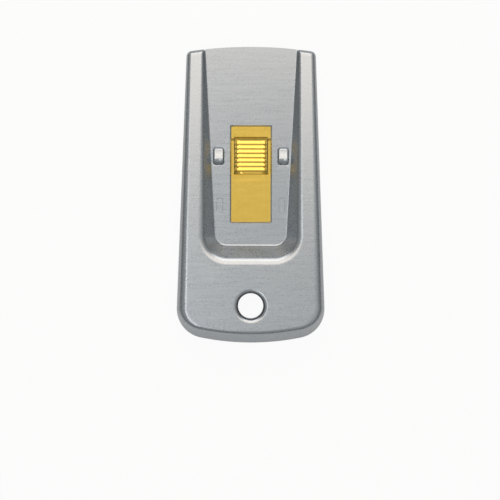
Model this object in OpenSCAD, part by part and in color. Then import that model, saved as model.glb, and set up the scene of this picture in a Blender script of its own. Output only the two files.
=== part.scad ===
// Retractable razor blade scraper: two stamped steel halves, a thumb slide and a single-edge blade.
// Millimetres. The mouth faces +Y, the front face is up (+Z) and the back lies on z = 0.

/* [Body outline] */
// Overall length, from the rear end to the middle of the mouth
body_len = 100; // [90:1:115]
// How much wider the rear end is than the mouth
flare = 7.3; // [4:0.1:12]
// Radius of the curved mouth edge
mouth_r = 142; // [110:2:200]
// Radius of the curved rear end
rear_r = 85; // [60:1:120]
// Plan radius of the two mouth corners
mouth_corner_r = 1.4; // [1.3:0.1:3]
// Plan radius of the two rear corners
rear_corner_r = 10; // [7:0.5:13]

/* [Sheet metal] */
// Sheet thickness of the front shell
shell_t = 0.8; // [0.6:0.05:0.9]
// Sheet thickness of the back plate
plate_t = 0.8; // [0.6:0.05:1.2]
// Sheet thickness of the thumb slide
slide_t = 0.6; // [0.5:0.05:0.8]
// Thickness of the spring-steel leaf and fork
spring_t = 0.3; // [0.2:0.05:0.4]

/* [Walls and lip] */
// Draft of the side walls in degrees
side_draft = 2; // [1:0.5:8]
// Draft of the rear wall in degrees
rear_draft = 18; // [8:0.5:20]
// Outer radius where the walls meet the rim, at the mouth
wall_fillet_mouth = 1.7; // [1.4:0.05:2]
// Outer radius where the walls meet the rim, along the handle
wall_fillet_handle = 3.4; // [2:0.1:3.8]
// Outer radius where the rear wall meets the rim
wall_fillet_rear = 1.7; // [1.2:0.1:3.6]
// Outer radius of the bend from the wall into the lip
lip_bend_r = 1.0; // [0.95:0.05:1.2]
// How far the turned-in lip reaches under the back plate, from the outline
lip_w = 2.8; // [2.2:0.1:4]
// Share of the mouth corner's radius past the bend that the lip takes there
lip_share = 0.6; // [0.3:0.05:0.8]

/* [Sunken panel] */
// Height of the rim above the panel at the mouth's apex
rim_rise_mouth = 1.0; // [0.9:0.05:1.5]
// How far the rim climbs for each millimetre towards the rear
rim_slope = 0.055; // [0.04:0.005:0.07]
// Width of each rim at the mouth, from the outline to where it rolls into the panel
rim_w = 4.7; // [4.4:0.1:7]
// How much the space between the rims widens towards the rear, at each side
trough_flare = 0.9; // [0:0.1:1.5]
// Length of the sunken panel behind the window, up to the flat rim
panel_tail = 14.5; // [11:0.1:18]
// Plan radius of the rim's edge at the panel's rear corners
trough_corner_r = 10; // [9:0.2:12]
// Slope of the panel's side walls in degrees
trough_angle_side = 46; // [45:1:60]
// Slope of the panel's rear wall in degrees
trough_angle_rear = 43; // [40:1:55]
// Outer radius at the top of the panel's walls, at the mouth
trough_fillet_mouth = 1.3; // [1.1:0.05:1.5]
// Outer radius at the top of the panel's side walls, at the rear
trough_fillet_side = 4.0; // [2:0.1:5]
// Outer radius at the top of the panel's rear wall
trough_fillet_rear = 4.2; // [3:0.1:4.5]
// Radius at the foot of the panel's walls
trough_foot_r = 0.7; // [0.5:0.05:0.9]

/* [Clearances] */
// Room between the blade's ends and the mouth's corners
blade_room = 1.35; // [0.2:0.05:2]
// Running clearance of sliding faces
run_clear = 0.1; // [0.05:0.01:0.12]
// Clearance around the back plate inside the walls
plate_clear = 0.2; // [0.1:0.05:0.4]

/* [Window and slide] */
// Width of the window
window_w = 13.5; // [12:0.1:16]
// Room between the grip's front foot and the window at full forward travel
window_stop = 0.1; // [0.1:0.05:0.5]
// Room between the grip's rear foot and the window at full retraction
window_tail = 3.09; // [0.2:0.01:5]
// Corner radius of the window
window_corner_r = 0.3; // [0.2:0.1:1.5]
// How far the slide moves forward from rest
travel_front = 3.4; // [2:0.1:5]
// How far the slide moves back from rest
travel_rear = 12.4; // [8:0.1:13]
// Width of the slide's strip
strip_w = 19.3; // [18:0.1:20]
// How far the strip still covers the window at the ends of its travel
window_cover = 0.5; // [0.2:0.1:1]
// How far the slide's head stays inside the blade's ends
head_inset = 1.5; // [0.5:0.1:5]

/* [Thumb grip] */
// Distance of the grip's front foot ahead of the lugs
grip_lead = 6.6; // [5:0.1:8]
// Number of ribs
rib_count = 7; // [4:1:8]
// Distance between ribs
rib_pitch = 1.51; // [1.2:0.01:1.6]
// Height of a rib above its valleys
rib_h = 0.35; // [0.2:0.05:0.5]
// Length of the grip's front face in plan
grip_front_run = 1.2; // [0.8:0.1:1.5]
// Length of the grip's rear shoulder in plan
grip_rear_run = 1.5; // [1:0.1:6]
// Height of the grip above the panel
grip_proud = 1.0; // [0.6:0.1:2]
// Width of the raised grip
grip_w = 11.6; // [8:0.1:12]
// Share of the sheet's thickness by which the grip's underside is set in at its slopes
slope_share = 0.4; // [0.3:0.05:0.6]
// Width of the lanced slit at each side of the grip
grip_slit = 0.3; // [0.2:0.1:0.6]

/* [Lugs and dimples] */
// Length of a clinched lug's shank
lug_len = 4.6; // [3.5:0.1:5]
// Room between the lugs and the fork at full retraction
lug_room = 1.4; // [0.8:0.1:3]
// Clearance between the lugs and the strip
lug_clear = 0.15; // [0.1:0.01:0.3]
// Clearance of a lug in its slot
slot_clear = 0.1; // [0.05:0.01:0.2]
// Width of a clinched lug head
lug_head_w = 3.2; // [2.6:0.1:3.6]
// Length of a clinched lug head
lug_head_len = 5.7; // [5.2:0.1:6.5]
// Height of a clinched lug head
lug_head_h = 0.9; // [0.6:0.05:1.2]
// How far a lug head is clinched outwards from its shank
lug_lean = 0.7; // [0.4:0.05:1.0]
// Share of a lug head's height that is left at its ends
lug_edge = 0.4; // [0.2:0.05:0.7]
// Room between a lug and the slide's head at full retraction
lug_pass = 0.5; // [0.3:0.1:0.8]
// Corner radius of a clinched lug head
lug_head_r = 0.7; // [0.4:0.05:1.0]
// Width of a pressed guide dimple
dimple_w = 2.0; // [1.6:0.1:2.6]
// Length of a pressed guide dimple
dimple_len = 5.0; // [4:0.1:6]
// Distance of the dimples behind the lugs
dimple_pitch = 16.2; // [12:0.1:18]
// How much smaller the dimple's hollow is than its underside, all round
dimple_lean = 0.15; // [0.1:0.05:0.3]
// Depth of a pressed guide dimple
dimple_depth = 0.5; // [0.3:0.05:0.6]

/* [Blade] */
// Length of the cutting edge
blade_len = 38.1; // [36:0.1:50]
// Width of the blade from its spine's back to its edge
blade_w = 19.0; // [18:0.1:22]
// Thickness of the blade
blade_t = 0.25; // [0.2:0.01:0.4]
// Length of the ground bevel
bevel_len = 1.1; // [0.6:0.1:2]
// Where the cutting edge rests behind the mouth's apex
edge_back = 1.5; // [1.4:0.1:3]
// Width of the folded spine
spine_w = 5.0; // [4:0.1:6]
// Thickness of the folded spine
spine_t = 1.0; // [0.8:0.05:1.1]
// How far the blade reaches into its spine
spine_grip = 4.4; // [3:0.1:4.6]
// Length of the blade's centre slot
slot_len = 8; // [6:0.5:12]
// Width of the blade's centre slot
slot_w = 3.4; // [2.5:0.1:4]
// Length of the notch in each blade end
notch_len = 3.0; // [2.4:0.1:4]
// Distance of the notches from the spine
notch_gap = 0.6; // [0.4:0.1:1.5]
// Depth of the notch in each blade end
notch_depth = 1.6; // [1.2:0.1:2]

/* [Detent and fork] */
// Width of the detent leaf
leaf_w = 5; // [3:0.1:8]
// Length of the detent leaf from its rivet to its nose
leaf_len = 7.5; // [6:0.1:9]
// How far behind the window the leaf's rivet stays at full forward travel
leaf_cover = 3.4; // [1.5:0.1:5]
// How far the strip runs past that rivet
strip_tail = 3.0; // [2.2:0.1:3.4]
// How far the nose drops into a notch
nose_drop = 0.4; // [0.2:0.05:0.6]
// Half-length of the nose
nose_run = 1.1; // [0.9:0.05:1.2]
// How far the leaf's free end turns up again, as a share of the way to the strip
tip_rise = 0.4; // [0:0.05:0.8]
// Sideways clearance of the leaf in a notch
notch_side = 0.3; // [0.2:0.05:0.6]
// Length of a notch in the back plate
notch_run = 2.4; // [2:0.1:3]
// Diameter of the rivet shanks
rivet_d = 1.2; // [0.9:0.05:1.4]
// Diameter of the rivet heads
rivet_head_d = 2.0; // [1.8:0.05:2.2]
// Clearance of the rivets in their holes
rivet_clear = 0.08; // [0.04:0.01:0.12]
// Height of a rivet's closed tail
rivet_tail_h = 0.35; // [0.2:0.05:0.5]
// Taper of a rivet's closed tail, its end over its root
tail_taper = 0.8; // [0.6:0.05:1]
// Width of the fork's two riveted feet
foot_w = 2.4; // [2.2:0.1:2.6]
// Length of the fork's two riveted feet
foot_len = 4.4; // [3.4:0.1:5]
// How far the fork's hooks reach into the notches
hook_reach = 1.2; // [0.8:0.1:1.5]
// Clearance of a hook in its notch, at both sides
hook_clear = 0.5; // [0.3:0.1:0.8]
// Sideways clearance between the blade's ends and the fork
fork_clear = 0.25; // [0.15:0.05:0.4]

/* [Hang hole] */
// Radius of the hang hole
hang_r = 4.25; // [3:0.05:5]
// Distance of the hang hole's centre from the rear end
hang_inset = 12.5; // [9:0.1:14]
// Width of the rolled edge round the hang hole
hang_roll_w = 0.8; // [0.5:0.05:1.2]
// How far the rolled edge turns in under the sheet
hang_roll_h = 1.4; // [1.2:0.1:2.4]

/* [Hidden] */
$fn = 48;

steel_colour = "#c4c6c6";
plate_colour = "#b4b6b8";
gold_colour = "#d2b04c";
spring_colour = "#8d9298";
rivet_colour = "#c9a648";
blade_colour = "#dadde0";
spine_colour = "#9aa0a6";

// A hair past a face, so that cuts go right through
over = 0.5;

// Heights of the stacked sheets
plate_z = shell_t;
plate_top = plate_z + plate_t;
mech_gap = spine_t + slide_t + 3 * run_clear;
panel_under = plate_top + mech_gap;
panel_z = panel_under + shell_t;
strip_top = panel_under - run_clear;
strip_z = strip_top - slide_t;
spine_z = plate_top + run_clear;
blade_mid_z = spine_z + spine_t / 2;

// Ends of the body, and its widths there if the sides ran on straight
mouth_y = body_len / 2;
rear_y = -body_len / 2;
mouth_w = blade_len + 2 * (mouth_corner_r + blade_room);
rear_w = mouth_w + flare;

// Places along the body, from the mouth back to the handle
edge_y = mouth_y - edge_back;
spine_back = edge_y - blade_w;
spine_front = spine_back + spine_w;
notch_y = spine_front + notch_gap + notch_len / 2;
fork_front = spine_back - run_clear;
fork_back = fork_front - spring_t;
lug_y = fork_back - travel_rear - lug_room - lug_len / 2;
dimple_y = lug_y - dimple_pitch;
grip_front_y = lug_y + grip_lead;
rib_start = grip_front_y - grip_front_run;
rib_end = rib_start - rib_count * rib_pitch;
grip_back_y = rib_end - grip_rear_run;
window_front_y = grip_front_y + travel_front + window_stop;
window_rear_y = grip_back_y - travel_rear - window_tail;
trough_rear_y = window_rear_y - panel_tail;
leaf_rivet_y = window_rear_y - travel_front - leaf_cover;
nose_y = leaf_rivet_y + leaf_len;
strip_back = leaf_rivet_y - strip_tail;
head_back = lug_y + lug_len / 2 + travel_rear + lug_pass;
head_front = max(window_front_y + travel_rear + window_cover, notch_y);
foot_rivet_y = fork_back - foot_len / 2;
hang_y = rear_y + hang_inset;

// Places across the body
lug_x = strip_w / 2 + lug_clear;
lug_head_x = lug_x + plate_t / 2 + lug_lean;
dimple_x = lug_x + dimple_w / 2;
fork_x = blade_len / 2 + fork_clear;
foot_x = strip_w / 2 - foot_w / 2 - run_clear;
head_w = blade_len - 2 * head_inset;

// Straight sides: x = side_a - side_b * y
side_b = (rear_w - mouth_w) / 2 / body_len;
side_a = mouth_w / 2 + side_b * mouth_y;
side_norm = sqrt(1 + side_b * side_b);
function side_hw(y) = side_a - side_b * y;

// Height of the flat rim, which climbs towards the rear
function rim_z(y) = panel_z + rim_rise_mouth + rim_slope * (mouth_y - y);

// Mouth edge, moved back by e
function mouth_edge(x, e) = mouth_y - e - mouth_r + sqrt(mouth_r * mouth_r - x * x);

function mix(a, b, k) = a + (b - a) * k;
function clamp(k) = max(0, min(1, k));

// Rear corner: centre of the circle that touches the side and the rear arc from inside
rear_cy = rear_y + rear_r;
rc_c = side_a - rear_corner_r * side_norm;
rc_in = rear_r - rear_corner_r;
rc_qa = 1 + side_b * side_b;
rc_qb = -2 * (side_b * rc_c + rear_cy);
rc_qc = rc_c * rc_c + rear_cy * rear_cy - rc_in * rc_in;
rc_y = (-rc_qb - sqrt(rc_qb * rc_qb - 4 * rc_qa * rc_qc)) / (2 * rc_qa);
rc_x = rc_c - side_b * rc_y;
rc_start = atan2(side_b, 1);
rc_end = atan2(rc_y - rear_cy, rc_x);
side_end_y = rc_y + rear_corner_r * sin(rc_start);

// Stations run from the mouth corner along one side to the middle of the rear end
corner_steps = 5;
front_steps = 2;
side_steps = 6;
bend_steps = 8;
rear_steps = 3;
front_zone = 6;
first_side = corner_steps + front_steps;
first_bend = first_side + side_steps;
first_rear = first_bend + bend_steps;
last_station = first_rear + rear_steps;

function corner_angle(j) = 90 * min(j, corner_steps) / corner_steps;

// Distance of a station behind the mouth edge, in the front zone
function station_e(j) = j <= corner_steps
    ? mouth_corner_r * (1 - cos(corner_angle(j)))
    : mix(mouth_corner_r, front_zone, (j - corner_steps) / front_steps);

// The rim's front ends round down to the panel
function rise(j) = j < corner_steps ? sin(corner_angle(j)) : 1;

front_side_y = mouth_edge(side_hw(mouth_y - front_zone), front_zone);

// Outline point of a station: [x, y, outward normal x, outward normal y]
function outline(j) =
    j <= first_side ?
        let (e = station_e(j))
        let (hw = side_hw(mouth_edge(mouth_w / 2, e)))
        let (x = hw - mouth_corner_r * (1 - sin(corner_angle(j))))
        [x, mouth_edge(x, e), sin(corner_angle(j)), cos(corner_angle(j))]
    : j <= first_bend ?
        let (y = mix(front_side_y, side_end_y, (j - first_side) / side_steps))
        [side_hw(y), y, 1 / side_norm, side_b / side_norm]
    : j <= first_rear ?
        let (a = mix(rc_start, rc_end, (j - first_bend) / bend_steps))
        [rc_x + rear_corner_r * cos(a), rc_y + rear_corner_r * sin(a), cos(a), sin(a)]
    :
        let (a = mix(rc_end, -90, (j - first_rear) / rear_steps))
        [rear_r * cos(a), rear_cy + rear_r * sin(a), cos(a), sin(a)];

// Edge of the rim round the panel: [x, y, normal into the panel x, normal into the panel y]
trough_hw_mouth = mouth_w / 2 - rim_w;
trough_b = trough_flare / (mouth_y - trough_rear_y);
trough_bend_y = trough_rear_y + trough_corner_r;
function trough_hw(y) = trough_hw_mouth + trough_b * (mouth_y - y);
trough_front_y = mouth_edge(trough_hw_mouth, front_zone);
trough_cx = trough_hw(trough_bend_y) - trough_corner_r;
function trough(j) =
    j <= first_side ?
        let (y = mouth_edge(trough_hw_mouth, station_e(j)))
        [trough_hw(y), y, -1, 0]
    : j <= first_bend ?
        let (y = mix(trough_front_y, trough_bend_y, (j - first_side) / side_steps))
        [trough_hw(y), y, -1, 0]
    : j <= first_rear ?
        let (a = -90 * (j - first_bend) / bend_steps)
        [trough_cx + trough_corner_r * cos(a), trough_bend_y + trough_corner_r * sin(a), -cos(a), -sin(a)]
    :
        [trough_cx * (last_station - j) / rear_steps, trough_rear_y, 0, 1];

// Progress along the side from the mouth, 0 to 1
function along(y) = clamp((mouth_y - y) / (mouth_y - side_end_y));

// The lip is narrower round the mouth corners
lip_corner_w = lip_bend_r + lip_share * (mouth_corner_r - lip_bend_r);

// Points of each bend in the section
foot_steps = 3;
top_steps = 4;
wall_steps = 4;
lip_steps = 3;

// Section through the panel's wall at a station: inset 0 is the outer face and shell_t the inner face
function trough_section(j, inset) =
    let (p = trough(j))
    let (rear = abs(p[3]))
    let (top = rim_z(p[1]))
    let (angle = mix(trough_angle_side, trough_angle_rear, rear))
    let (r1 = mix(mix(trough_fillet_mouth, trough_fillet_side, along(p[1])), trough_fillet_rear, rear))
    let (r2 = trough_foot_r)
    let (w = (top - panel_z) / tan(angle) + (r1 + r2) * tan(angle / 2))
    let (foot = [for (i = [0:foot_steps]) let (a = angle * i / foot_steps)
        [w - (r2 + inset) * sin(a), panel_z + r2 - (r2 + inset) * cos(a)]])
    let (crest = [for (i = [0:top_steps]) let (a = angle * (1 - i / top_steps))
        [(r1 - inset) * sin(a), top - r1 + (r1 - inset) * cos(a)]])
    let (base = panel_z - inset)
    [for (q = concat(foot, crest)) let (x = p[0] + p[2] * q[0])
        [x, j <= first_side ? mouth_edge(x, station_e(j)) : p[1] + p[3] * q[0], mix(base, q[1], rise(j))]];

// Draft of the wall at a station, upright where the mouth corner faces forward
function wall_draft(j) = let (p = outline(j)) j < corner_steps
    ? side_draft * p[2]
    : mix(side_draft, rear_draft, clamp(-p[3]));

// Inset of the bend's centre from the outline, where the leaning wall reaches the outline at the bend
function wall_lean(z, draft) = (z - lip_bend_r) * tan(draft) + lip_bend_r * (1 - 1 / cos(draft));

// Section through the outer wall and the lip at a station
function wall_section(j, inset) =
    let (p = outline(j))
    let (rear = clamp(-p[3]))
    let (draft = wall_draft(j))
    let (r = mix(mix(wall_fillet_mouth, wall_fillet_handle, along(p[1])), wall_fillet_rear, rear))
    let (first_d = wall_lean(rim_z(p[1]) - r, draft) + r / cos(draft))
    let (top = rim_z(p[1] - min(p[3], 0) * first_d))
    let (dc = wall_lean(top - r, draft) + r / cos(draft))
    let (base = panel_z - inset)
    let (fillet = [for (i = [0:wall_steps]) let (a = (90 - draft) * i / wall_steps)
        [dc - (r - inset) * sin(a), top - r + (r - inset) * cos(a)]])
    let (bend = [for (i = [0:lip_steps])
        let (a = i == 0 ? 180 - draft : mix(180, 270, (i - 1) / (lip_steps - 1)))
        [lip_bend_r + (lip_bend_r - inset) * cos(a), lip_bend_r + (lip_bend_r - inset) * sin(a)]])
    let (tip = [mix(lip_corner_w, lip_w, clamp((mouth_y - p[1]) / front_zone - 1)), inset])
    concat(
        [for (q = fillet) q[1] > base && j < corner_steps
            ? let (x = p[0] - q[0]) [x, mouth_edge(x, station_e(j)), mix(base, q[1], rise(j))]
            : [p[0] - p[2] * q[0], p[1] - p[3] * q[0], q[1]]],
        [for (q = concat(bend, [tip])) [p[0] - p[2] * q[0], p[1] - p[3] * q[0], q[1]]]
    );

function half_section(j, inset) = concat(trough_section(j, inset), wall_section(j, inset));
function flip(points) = [for (p = points) [-p[0], p[1], p[2]]];

// All stations, from the right mouth corner round the rear end to the left mouth corner
function section(n, inset) = n <= last_station
    ? half_section(n, inset)
    : flip(half_section(2 * last_station - n, inset));

stations = 2 * last_station + 1;
ring = foot_steps + top_steps + wall_steps + lip_steps + 5;
mouth_steps = 8;

// Sheet of the shell: outer face, inner face, lip edge, ends and the flat panel between them
module shell_sheet() {
    outer = [for (n = [0:stations - 1]) each section(n, 0)];
    inner = [for (n = [0:stations - 1]) each section(n, shell_t)];
    half = outer[0][0];
    edge_x = [for (i = [1:mouth_steps - 1]) half * (2 * i / mouth_steps - 1)];
    edge_top = [for (x = edge_x) [x, mouth_edge(x, 0), panel_z]];
    edge_low = [for (x = edge_x) [x, mouth_edge(x, 0), panel_under]];
    n_in = stations * ring;
    n_top = 2 * n_in;
    n_low = n_top + mouth_steps - 1;
    last = (stations - 1) * ring;
    skin = [for (n = [0:stations - 2]) for (i = [0:ring - 2]) let (a = n * ring + i)
        each [[a, a + 1, a + ring + 1], [a, a + ring + 1, a + ring]]];
    lining = [for (f = skin) [f[2] + n_in, f[1] + n_in, f[0] + n_in]];
    lip_edge = [for (n = [0:stations - 2]) let (a = n * ring + ring - 1)
        each [[a, a + n_in, a + ring + n_in], [a, a + ring + n_in, a + ring]]];
    ends = [for (i = [0:ring - 2]) each [
        [i + 1, i, i + n_in], [i + 1, i + n_in, i + 1 + n_in],
        [last + i, last + i + 1, last + i + 1 + n_in], [last + i, last + i + 1 + n_in, last + i + n_in]]];
    rim_top = [for (n = [0:stations - 1]) n * ring];
    front_top = concat([last], [for (i = [0:mouth_steps - 2]) n_top + i], [0]);
    front_low = concat([last + n_in], [for (i = [0:mouth_steps - 2]) n_low + i], [n_in]);
    panel_up = concat(rim_top, [for (i = [0:mouth_steps - 2]) n_top + i]);
    panel_down = concat([for (i = [mouth_steps - 2:-1:0]) n_low + i],
        [for (n = [stations - 1:-1:0]) n * ring + n_in]);
    front = [for (i = [0:mouth_steps - 1]) each [
        [front_top[i], front_low[i], front_low[i + 1]], [front_top[i], front_low[i + 1], front_top[i + 1]]]];
    polyhedron(concat(outer, inner, edge_top, edge_low),
        concat(skin, lining, lip_edge, ends, front, [panel_up, panel_down]), convexity = 8);
}

module rounded(w, l, r) {
    square([w - 2 * r, l], center = true);
    square([w, l - 2 * r], center = true);
    for (x = [-1, 1]) for (y = [-1, 1]) translate([x * (w / 2 - r), y * (l / 2 - r)]) circle(r);
}

module stadium(l, w) {
    square([l - w, w], center = true);
    for (x = [-1, 1]) translate([x * (l - w) / 2, 0]) circle(w / 2);
}

// Both mirrored copies of what is drawn on the +X side
module both_sides() {
    for (side = [0, 1]) mirror([side, 0, 0]) children();
}

// A profile drawn in Y and Z, carried across X
module across(w) {
    rotate([90, 0, 90]) linear_extrude(w, center = true) children();
}

module hang_bore(z, h, r = hang_r) {
    translate([0, hang_y, z]) cylinder(h = h, r = r);
}

// Rolled edge that turns down round the hang hole
module hang_roll() {
    top = rim_z(hang_y) - shell_t / 2;
    hang_bore(top - hang_roll_h, hang_roll_h, hang_r + hang_roll_w);
}

// Plan of a guide dimple, drawn in by a margin
module dimple_outline(margin) {
    rotate(90) stadium(dimple_len - 2 * margin, dimple_w - 2 * margin);
}

module front_shell() {
    window_len = window_front_y - window_rear_y;
    color(steel_colour) difference() {
        union() {
            shell_sheet();
            hang_roll();
            both_sides() translate([dimple_x, dimple_y, panel_under - dimple_depth])
                linear_extrude(dimple_depth + shell_t / 2) dimple_outline(0);
        }
        hang_bore(-over, rim_z(rear_y) + 2 * over);
        translate([0, window_rear_y + window_len / 2, panel_under - over])
            linear_extrude(shell_t + 2 * over) rounded(window_w, window_len, window_corner_r);
        both_sides() {
            translate([lug_x - slot_clear, lug_y - lug_len / 2 - slot_clear, panel_under - over])
                cube([plate_t + 2 * slot_clear, lug_len + 2 * slot_clear, shell_t + 2 * over]);
            translate([dimple_x, dimple_y, panel_z - dimple_depth])
                linear_extrude(dimple_depth + over) dimple_outline(dimple_lean);
        }
    }
}

// Clinched head of a lug, crowned along the body
module lug_head() {
    crown = lug_head_h * (1 - lug_edge);
    crown_r = lug_head_len * lug_head_len / 8 / crown + crown / 2;
    intersection() {
        translate([lug_head_x, lug_y, panel_z])
            linear_extrude(lug_head_h) rounded(lug_head_w, lug_head_len, lug_head_r);
        translate([lug_head_x, lug_y, panel_z + lug_head_h - crown_r])
            rotate([0, 90, 0]) cylinder(h = 2 * lug_head_w, r = crown_r, center = true, $fn = 96);
    }
}

// Inset of the back plate from the outline at a station
function plate_inset(j) = let (draft = wall_draft(j))
    plate_clear + max(lip_bend_r, wall_lean(plate_top, draft) + shell_t / cos(draft));

module plate_sheet() {
    side = [for (j = [0:last_station]) let (p = outline(j)) let (d = plate_inset(j))
        [p[0] - p[2] * d, p[1] - p[3] * d]];
    left = [for (j = [last_station - 1:-1:0]) [-side[j][0], side[j][1]]];
    front = [for (i = [1:mouth_steps - 1]) let (x = side[0][0] * (2 * i / mouth_steps - 1))
        [x, mouth_edge(x, plate_inset(0))]];
    linear_extrude(plate_t) polygon(concat(side, left, front));
}

module back_plate() {
    lance = panel_z - plate_top;
    color(plate_colour) difference() {
        union() {
            translate([0, 0, plate_z]) plate_sheet();
            both_sides() {
                translate([lug_x, lug_y - lug_len / 2, plate_z]) cube([plate_t, lug_len, panel_z - plate_z]);
                lug_head();
            }
        }
        both_sides() translate([lug_x + plate_t, lug_y - lug_len / 2 - slot_clear, plate_z - over])
            cube([lance, lug_len + 2 * slot_clear, plate_t + 2 * over]);
        for (shift = [-travel_rear, 0, travel_front])
            translate([0, nose_y + shift, plate_top / 2])
                cube([leaf_w + 2 * notch_side, notch_run, 2 * plate_top], center = true);
        hang_bore(plate_z - over, plate_t + 2 * over);
    }
}

// Flush rivet through the slide and a spring, drawn with its head at the top of the strip
module flush_rivet(x, y, grow = 0, tail = true) {
    r = rivet_d / 2 + grow;
    head_r = rivet_head_d / 2 + grow;
    head_h = slide_t / 2;
    translate([x, y, 0]) {
        translate([0, 0, strip_top - head_h]) cylinder(h = head_h, r1 = r, r2 = head_r);
        translate([0, 0, strip_z - spring_t]) cylinder(h = slide_t + spring_t - head_h, r = r);
        if (tail) translate([0, 0, strip_z - spring_t - rivet_tail_h])
            cylinder(h = rivet_tail_h, r1 = head_r * tail_taper, r2 = head_r);
    }
}

// Corrugated thumb grip: front face, ribs and rear shoulder as one bent band
grip_top = panel_z + grip_proud;
rib_points = 6;
shoulder_points = 8;
function rib_crest(k) = grip_top - rib_h * (1 - sin(180 * k));
ribs = [for (i = [0:rib_count - 1]) for (k = [0:rib_points - 1])
    [rib_start - rib_pitch * (i + k / rib_points), rib_crest(k / rib_points)]];
shoulder = [for (k = [0:shoulder_points]) let (s = k / shoulder_points)
    [rib_end - grip_rear_run * s, mix(strip_top, grip_top - rib_h, (1 + cos(180 * s)) / 2)]];
grip_upper = concat([[grip_front_y, strip_top]], ribs, shoulder);

// The band's underside, set in at both slopes so that the sheet keeps its thickness there
slope_in = slope_share * slide_t;
grip_lower = concat([[grip_front_y - slide_t, strip_z]],
    [for (p = ribs) [min(p[0], rib_start - slope_in), p[1] - slide_t]],
    [for (p = shoulder) [p[0] + slope_in, max(strip_z, p[1] - slide_t)]]);

module grip_band() {
    back = len(grip_lower) - 1;
    across(grip_w) polygon(concat(
        [[grip_front_y + slide_t, strip_top]], grip_upper, [[grip_back_y - slide_t, strip_top]],
        [[grip_back_y - slide_t, strip_z]], [for (i = [back:-1:0]) grip_lower[i]],
        [[grip_front_y + slide_t, strip_z]]));
}

module thumb_slide() {
    strip_len = head_front - strip_back;
    open_w = grip_w + 2 * grip_slit;
    color(gold_colour) difference() {
        union() {
            difference() {
                union() {
                    translate([-strip_w / 2, strip_back, strip_z]) cube([strip_w, strip_len, slide_t]);
                    translate([-head_w / 2, head_back, strip_z])
                        cube([head_w, head_front - head_back, slide_t]);
                }
                translate([-open_w / 2, grip_back_y, strip_z - over])
                    cube([open_w, grip_front_y - grip_back_y, slide_t + 2 * over]);
            }
            grip_band();
        }
        flush_rivet(0, leaf_rivet_y, rivet_clear, false);
        both_sides() flush_rivet(foot_x, foot_rivet_y, rivet_clear, false);
    }
}

// Leaf: flat under the rivet, then a slope down to the nose and a turned-up end
leaf_flat = rivet_head_d;
leaf_mid = strip_z - spring_t / 2;
nose_mid = plate_top - nose_drop + spring_t / 2;
nose_top = (nose_mid + leaf_mid) / 2;
leaf_line = [
    [leaf_rivet_y - leaf_flat, leaf_mid], [leaf_rivet_y + leaf_flat, leaf_mid], [nose_y - nose_run, nose_top],
    [nose_y, nose_mid], [nose_y + nose_run, nose_top],
    [nose_y + 2 * nose_run, mix(nose_top, leaf_mid, tip_rise)]
];

module detent_spring() {
    up = [for (p = leaf_line) [p[0], p[1] + spring_t / 2]];
    low = [for (i = [len(leaf_line) - 1:-1:0]) [leaf_line[i][0], leaf_line[i][1] - spring_t / 2]];
    color(spring_colour) difference() {
        across(leaf_w) polygon(concat(up, low));
        flush_rivet(0, leaf_rivet_y, rivet_clear, false);
    }
}

module spring_rivet() {
    color(rivet_colour) flush_rivet(0, leaf_rivet_y);
}

module clip_rivets() {
    color(rivet_colour) both_sides() flush_rivet(foot_x, foot_rivet_y);
}

// Fork: a wall behind the spine, two arms along the blade's ends with hooks, and two riveted feet
module blade_clip() {
    fork_h = strip_z - spine_z;
    hook_len = notch_len - 2 * hook_clear;
    hook_x = blade_len / 2 - hook_reach;
    arm_front = notch_y + hook_len / 2;
    color(spring_colour) difference() {
        union() {
            translate([-fork_x - spring_t, fork_back, spine_z])
                cube([2 * (fork_x + spring_t), spring_t, fork_h]);
            both_sides() {
                translate([fork_x, fork_back, spine_z]) cube([spring_t, arm_front - fork_back, fork_h]);
                translate([hook_x, arm_front - hook_len, spine_z])
                    cube([fork_x - hook_x + spring_t, hook_len, fork_h]);
                translate([foot_x - foot_w / 2, fork_back - foot_len, strip_z - spring_t])
                    cube([foot_w, foot_len + spring_t, spring_t]);
            }
        }
        both_sides() flush_rivet(foot_x, foot_rivet_y, rivet_clear, false);
    }
}

module razor_blade() {
    back = spine_front - spine_grip;
    slot_y = (spine_front + edge_y - bevel_len) / 2;
    half = blade_t / 2;
    color(blade_colour) difference() {
        across(blade_len) polygon([
            [back, blade_mid_z - half], [edge_y - bevel_len, blade_mid_z - half], [edge_y, blade_mid_z],
            [edge_y - bevel_len, blade_mid_z + half], [back, blade_mid_z + half]]);
        translate([0, slot_y, blade_mid_z - over]) linear_extrude(2 * over) stadium(slot_len, slot_w);
        both_sides() translate([blade_len / 2 - notch_depth, notch_y - notch_len / 2, blade_mid_z - over])
            cube([notch_depth + over, notch_len, 2 * over]);
    }
}

module blade_spine() {
    r = spine_t / 2;
    color(spine_colour) across(blade_len) difference() {
        union() {
            translate([spine_back + r, spine_z]) square([spine_w - r, spine_t]);
            translate([spine_back + r, blade_mid_z]) circle(r);
        }
        translate([spine_front - spine_grip, blade_mid_z - blade_t / 2]) square([spine_grip + over, blade_t]);
    }
}

front_shell();
back_plate();
thumb_slide();
detent_spring();
spring_rivet();
blade_clip();
clip_rivets();
razor_blade();
blade_spine();
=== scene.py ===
"""Looks of a retractable razor blade scraper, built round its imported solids.

The file is laid out as an add-on and run as a script. Lengths are metres in the part's own frame:
+Y runs towards the blade mouth, +Z out of the front face, and the back lies on z = 0.
"""

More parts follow.
